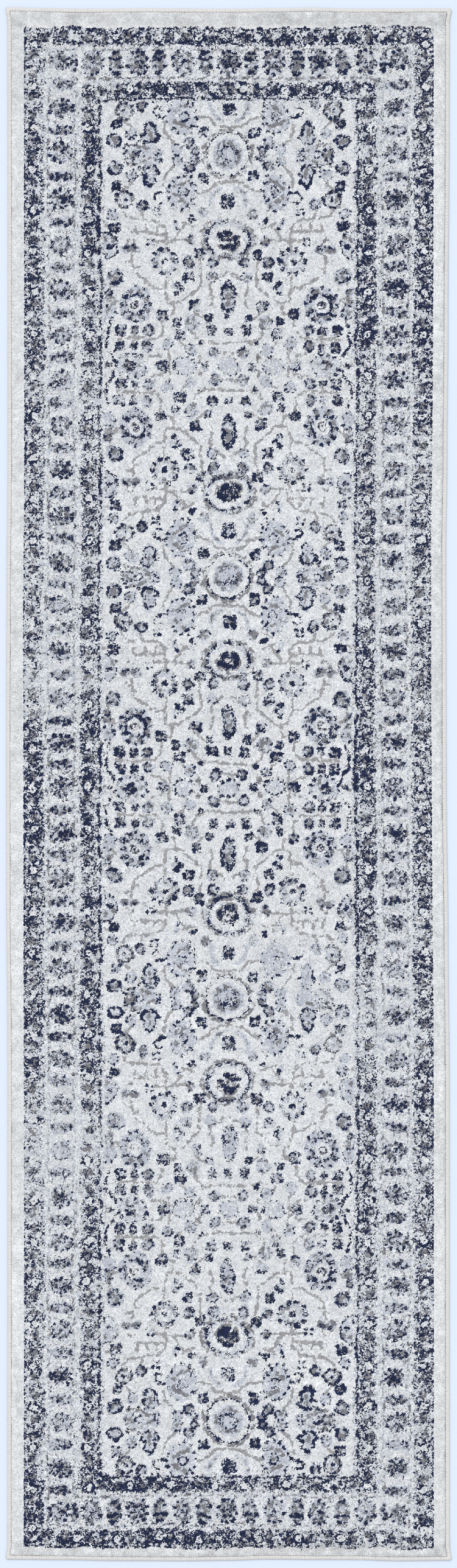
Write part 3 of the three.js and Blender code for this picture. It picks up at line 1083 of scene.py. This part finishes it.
def ribbedLayer(name, node, material, alongY, pitch, relief, ribTop=True):
    # A closed layer whose surface is a row of yarns. alongY says that the yarns run along the rug.
    low, high = (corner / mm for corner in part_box(node))
    start, end = (low.x, high.x) if alongY else (low.y, high.y)
    count = int(round((end - start) / pitch))
    steps = np.linspace(start, end, count * ground["rowsPerYarn"] + 1)
    wave = 0.5 - 0.5 * np.cos((steps - start) / (end - start) * count * 2 * math.pi)
    tops = high.z - relief * (1 - wave) * (1.0 if ribTop else 0.0)
    bottoms = low.z + relief * (1 - wave)
    # stations along the yarns, close enough to follow the rug's wavy outline
    stations = np.linspace(low.y, high.y, 24) if alongY else high.x * np.array(ground["acrossStations"])
    points = []
    for heights in (tops, bottoms):
        for place in stations:
            across = np.full_like(steps, place)
            pair = (steps, across) if alongY else (across, steps)
            points.append(np.stack([*pair, heights], 1))
    points = laidOut(np.concatenate(points))
    n, m = len(steps), len(stations)
    grid = np.arange(2 * n * m).reshape(2, m, n)
    faces = []

    def skin(a, b, c, d):
        faces.extend(np.stack([a.ravel(), b.ravel(), c.ravel(), d.ravel()], -1).tolist())

    upper, under = grid[0], grid[1]
    skin(upper[:-1, :-1], upper[:-1, 1:], upper[1:, 1:], upper[1:, :-1])
    skin(under[:-1, :-1], under[1:, :-1], under[1:, 1:], under[:-1, 1:])
    skin(upper[0, :-1], under[0, :-1], under[0, 1:], upper[0, 1:])
    skin(upper[-1, :-1], upper[-1, 1:], under[-1, 1:], under[-1, :-1])
    skin(upper[:-1, 0], upper[1:, 0], under[1:, 0], under[:-1, 0])
    skin(upper[:-1, -1], under[:-1, -1], under[1:, -1], upper[1:, -1])
    if not alongY:
        faces = [face[::-1] for face in faces]
    return makeMesh(name, points, faces, material)


def makeGround():
    weft, stuffer = ground["weftPitch"], ground["stufferPitch"]
    layers = []
    for name, node, slot, material, pitch, relief in (
        ("woven_weft_upper", "weft_shots_upper", "jute_weft", juteMaterial, weft, 0.22),
        ("woven_stuffer", "stuffer_warps", "stuffer_yarn", stufferMaterial, stuffer, 0.18),
        ("woven_weft_lower", "weft_shots_lower", "jute_weft", juteMaterial, weft, 0.22),
        ("latex_coat", "latex_back_coat", "latex", latexMaterial, weft, 0.16),
    ):
        alongY = node == "stuffer_warps"
        layer = ribbedLayer(name, node, material, alongY, pitch, relief, ribTop=slot != "latex")
        layers.append(settle(layer, slot, node))
    return layers[0], layers[1:]


wovenGround, groundPieces = makeGround()
print("ground and backing ready")


# The serged edge and its needle thread are rows of one yarn shape.


def makeRowTree():
    # Lays one shape again and again along a line, each a little different.
    tree = bpy.data.node_groups.new("yarnRow", "GeometryNodeTree")
    kinds = {
        "Geometry": "Geometry", "Yarn": "Object", "Count": "Int", "Start": "Vector", "Step": "Vector",
        "Turn": "Vector", "Sway": "Float", "Swell": "Float", "Seed": "Int", "Material": "Material",
    }
    for label, kind in kinds.items():
        tree.interface.new_socket(name=label, in_out="INPUT", socket_type="NodeSocket" + kind)
    tree.interface.new_socket(name="Geometry", in_out="OUTPUT", socket_type="NodeSocketGeometry")
    given = addNode(tree, "NodeGroupInput").outputs

    def draw(low, high):
        limits = {2: low, 3: high, "Seed": given["Seed"]}
        return addNode(tree, "FunctionNodeRandomValue", limits, data_type="FLOAT").outputs[1]

    places = {"Count": given["Count"], "Start Location": given["Start"], "Offset": given["Step"]}
    line = addNode(tree, "GeometryNodeMeshLine", places, mode="OFFSET")
    yarn = addNode(tree, "GeometryNodeObjectInfo", {"Object": given["Yarn"]})
    sway = draw(math2(tree, "MULTIPLY", given["Sway"], -1.0), given["Sway"])
    lean = addNode(tree, "ShaderNodeCombineXYZ", {"Z": sway}).outputs[0]
    turn = addNode(tree, "ShaderNodeVectorMath", {0: given["Turn"], 1: lean}, operation="ADD").outputs[0]
    laid = addNode(tree, "GeometryNodeInstanceOnPoints", {
        "Points": line.outputs["Mesh"],
        "Instance": yarn.outputs["Geometry"],
        "Rotation": turn,
        "Scale": draw(math2(tree, "SUBTRACT", 1.0, given["Swell"]), 1.0),
    })
    real = addNode(tree, "GeometryNodeRealizeInstances", {"Geometry": laid.outputs["Instances"]})
    painted = {"Geometry": real.outputs["Geometry"], "Material": given["Material"]}
    paint = addNode(tree, "GeometryNodeSetMaterial", painted)
    addNode(tree, "NodeGroupOutput", {"Geometry": paint.outputs["Geometry"]})
    return tree


rowTree = makeRowTree()


def layRow(name, yarn, material, **values):
    # Runs the row tree, keeps the result as a plain mesh, and lays it along the rug's real outline.
    host = makeMesh(name, [(0, 0, 0)], [], material)
    modifier = host.modifiers.new("row", "NODES")
    modifier.node_group = rowTree
    sockets = {item.name: item.identifier for item in rowTree.interface.items_tree if item.in_out == "INPUT"}
    for label, value in dict(values, Yarn=yarn, Material=material).items():
        modifier[sockets[label]] = value
    evaluated = host.evaluated_get(bpy.context.evaluated_depsgraph_get())
    mesh = bpy.data.meshes.new_from_object(evaluated)
    host.modifiers.remove(modifier)
    host.data = mesh
    places = np.empty(len(mesh.vertices) * 3)
    mesh.vertices.foreach_get("co", places)
    mesh.vertices.foreach_set("co", laidOut(places.reshape(-1, 3) / mm).ravel())
    mesh.shade_smooth()
    mesh.update()
    return host


serging = {
    "pitch": 2.6,  # from one wrap to the next
    "yarnWidth": 3.1,
    "yarnThickness": 1.15,
    "sectionSides": 6,
    "slant": 0.16,  # how far a wrap moves on between its two ends, as a share of the pitch
    "sway": 0.05,
    "cornerWraps": 6,
    "seed": 5,
}
stitch = {"pitch": 2.9, "length": 2.4, "radius": 0.36, "sway": 0.12, "swell": 0.12, "seed": 9}
edgeQuarters = {"right": 0, "head": 1, "left": 2, "foot": 3}  # in quarter turns from the right edge


def sweptTube(name, path, widths, thickness, sides, slantStep, material):
    # A yarn along a path in the X-Z plane, its section widths[i] wide along Y.
    path = np.array(path, float)
    ahead = np.gradient(path, axis=0)
    ahead /= np.linalg.norm(ahead, axis=1)[:, None]
    out = np.stack([ahead[:, 1], -ahead[:, 0]], 1)
    points = []
    for k, (x, z) in enumerate(path):
        share = k / (len(path) - 1) - 0.5
        for side in range(sides):
            angle = 2 * math.pi * side / sides
            across = 0.5 * thickness[k] * math.sin(angle)
            along = 0.5 * widths[k] * math.cos(angle) + share * slantStep
            points.append((x + across * out[k, 0], along, z + across * out[k, 1]))
    faces = []
    for k in range(len(path) - 1):
        for side in range(sides):
            nextSide = (side + 1) % sides
            a, b = k * sides, (k + 1) * sides
            faces.append((a + side, b + side, b + nextSide, a + nextSide))
    faces.append(tuple(range(sides)))
    faces.append(tuple(range(len(path) * sides - sides, len(path) * sides))[::-1])
    return makeMesh(name, np.array(points) * mm, faces, material)


def addCornerFan(piece, wrap, sideX, sideY, width):
    # Wraps that turn the corner, spreading from its inner point and reaching to the square outline.
    shape = np.array([tuple(v.co) for v in wrap.data.vertices]) / mm
    reach = (shape[:, 0] + width) / width
    inner = np.array([sideX * (halfWidth - width), sideY * (halfLength - width)])
    points = [tuple(v.co) for v in piece.data.vertices]
    faces = [tuple(polygon.vertices) for polygon in piece.data.polygons]
    for angle in np.linspace(0, math.pi / 2, serging["cornerWraps"]):
        ahead = np.array([sideX * math.cos(angle), sideY * math.sin(angle)])
        across = np.array([-ahead[1], ahead[0]])
        out = reach * width / max(math.cos(angle), math.sin(angle))
        spreadOut = shape[:, 1] * (0.4 + 0.6 * np.clip(reach, 0, 1))
        flat = inner + np.outer(out, ahead) + np.outer(spreadOut, across)
        first = len(points)
        points.extend(laidOut(np.column_stack([flat, shape[:, 2]])).tolist())
        faces.extend(tuple(first + v for v in polygon.vertices) for polygon in wrap.data.polygons)
    mesh = bpy.data.meshes.new(piece.name)
    mesh.from_pydata(points, [], faces)
    mesh.materials.append(sergingMaterial)
    mesh.shade_smooth()
    piece.data = mesh


def edgeRow(node, pitch, alongX, less=0.0):
    # the middle of an edge's node, the length its row fills, how many repeats that takes, and their step
    low, high = (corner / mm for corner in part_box(node))
    run = (high.x - low.x if alongX else high.y - low.y) - less
    count = int(round(run / pitch))
    return (low + high) / 2, run, count, run / count


def makeSerging():
    node = "serged_edge_right"
    low, high = (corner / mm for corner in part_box(node))
    width, height = high.x - low.x, high.z
    half = serging["yarnThickness"] / 2
    # from the top inner end, over the edge and back under it; x is measured in from the edge
    path = [
        (width - half, 4.5), (width - half - 0.2, height - 1.4), (width - 2.0, height - half - 0.1),
        (width - 3.8, height - half), (2.4, height - half - 0.35), (1.1, height - 1.9), (half, 3.7),
        (half + 0.1, 2.2), (1.7, 0.95), (3.4, half), (width - 1.6, half), (width - half, half + 0.1),
    ]
    path = [(-x, z) for x, z in path]
    sides = [serging["yarnWidth"]] * len(path)
    thick = [serging["yarnThickness"]] * len(path)
    sides[0] = sides[-1] = 0.6 * serging["yarnWidth"]
    wrap = sweptTube("wrapShape", path, sides, thick, serging["sectionSides"],
                     serging["slant"] * serging["pitch"], sergingMaterial)
    pieces = []
    for place, quarter in edgeQuarters.items():
        alongX = quarter % 2 == 1
        corners = 2 * width if alongX else 0.0
        _, run, count, step = edgeRow(f"serged_edge_{place}", serging["pitch"], alongX, corners)
        reach = halfLength if alongX else halfWidth
        angle = quarter * math.pi / 2
        outward = Vector((math.cos(angle), math.sin(angle), 0))
        onward = Vector((-math.sin(angle), math.cos(angle), 0))
        start = (outward * reach - onward * (run / 2 - step / 2)) * mm
        piece = layRow(
            f"serging_{place}", wrap, sergingMaterial,
            Count=count, Start=start, Step=onward * step * mm, Turn=(0.0, 0.0, angle),
            Sway=serging["sway"], Swell=0.0, Seed=serging["seed"] + quarter,
        )
        if alongX:
            for sideX in (-1, 1):
                addCornerFan(piece, wrap, sideX, 1 if place == "head" else -1, width)
        settle(piece, "serging_yarn", f"serged_edge_{place}")
        pieces.append(piece)
    bpy.data.objects.remove(wrap)
    return pieces


def makeNeedleThread():
    length, radius = stitch["length"], stitch["radius"]
    stations = np.linspace(-1, 1, 5)
    path = [(s * length / 2, 0.12 * (1 - s * s)) for s in stations]
    widths = [2 * radius * math.sqrt(max(0.08, 1 - s * s * 0.92)) for s in stations]
    shape = sweptTube("stitchShape", path, widths, widths, 6, 0.0, threadMaterial)
    pieces = []
    for place, quarter in edgeQuarters.items():
        alongX = quarter % 2 == 1
        middle, run, count, step = edgeRow(f"needle_thread_{place}", stitch["pitch"], alongX)
        onward = Vector((1, 0, 0)) if alongX else Vector((0, 1, 0))
        start = (middle - onward * (run / 2 - step / 2)) * mm
        piece = layRow(
            f"needle_stitches_{place}", shape, threadMaterial,
            Count=count, Start=start, Step=onward * step * mm,
            Turn=(0.0, 0.0, 0.0 if alongX else math.pi / 2), Sway=stitch["sway"], Swell=stitch["swell"],
            Seed=stitch["seed"] + quarter,
        )
        settle(piece, "needle_thread", f"needle_thread_{place}")
        pieces.append(piece)
    bpy.data.objects.remove(shape)
    return pieces


sergingPieces = makeSerging()
threadPieces = makeNeedleThread()
print("edges ready")


# The floor and the light.
stage = {
    "floorReach": 90.0,
    "floorDrop": 0.3 * mm,
    "floorColor": rgb(219, 230, 245),
    "worldColor": (0.985, 0.99, 1.0, 1.0),
    "worldStrength": 0.68,
    "keyFrom": (-0.12, 0.3, 1.0),
    "keySpread": 24.0,
    "keyStrength": 1.4,
}


def makeStage():
    reach, height = stage["floorReach"], -stage["floorDrop"]
    corners = [(x * reach, y * reach, height) for x, y in ((-1, -1), (1, -1), (1, 1), (-1, 1))]
    material, tree, surface, place = newMaterial("studioFloor", 0.6, specular=0.1)
    mottle = mapRange(tree, noise(tree, place, 3.0, 2.0), 0.2, 0.8, 0.0, 0.05)
    feed(tree, mixColor(tree, mottle, stage["floorColor"], (1, 1, 1, 1)), surface.inputs["Base Color"])
    floor = makeMesh("studioFloor", corners, [(0, 1, 2, 3)], material)
    world = bpy.data.worlds.new("softStudio")
    world.use_nodes = True
    background = world.node_tree.nodes["Background"]
    background.inputs["Color"].default_value = stage["worldColor"]
    background.inputs["Strength"].default_value = stage["worldStrength"]
    bpy.context.scene.world = world
    data = bpy.data.lights.new("softKey", "SUN")
    data.angle = math.radians(stage["keySpread"])
    data.energy = stage["keyStrength"]
    key = bpy.data.objects.new("softKey", data)
    key.rotation_euler = (-Vector(stage["keyFrom"])).to_track_quat("-Z", "Y").to_euler()
    bpy.context.collection.objects.link(key)


makeStage()
bpy.context.scene.view_settings.view_transform = "Standard"
print("stage ready")
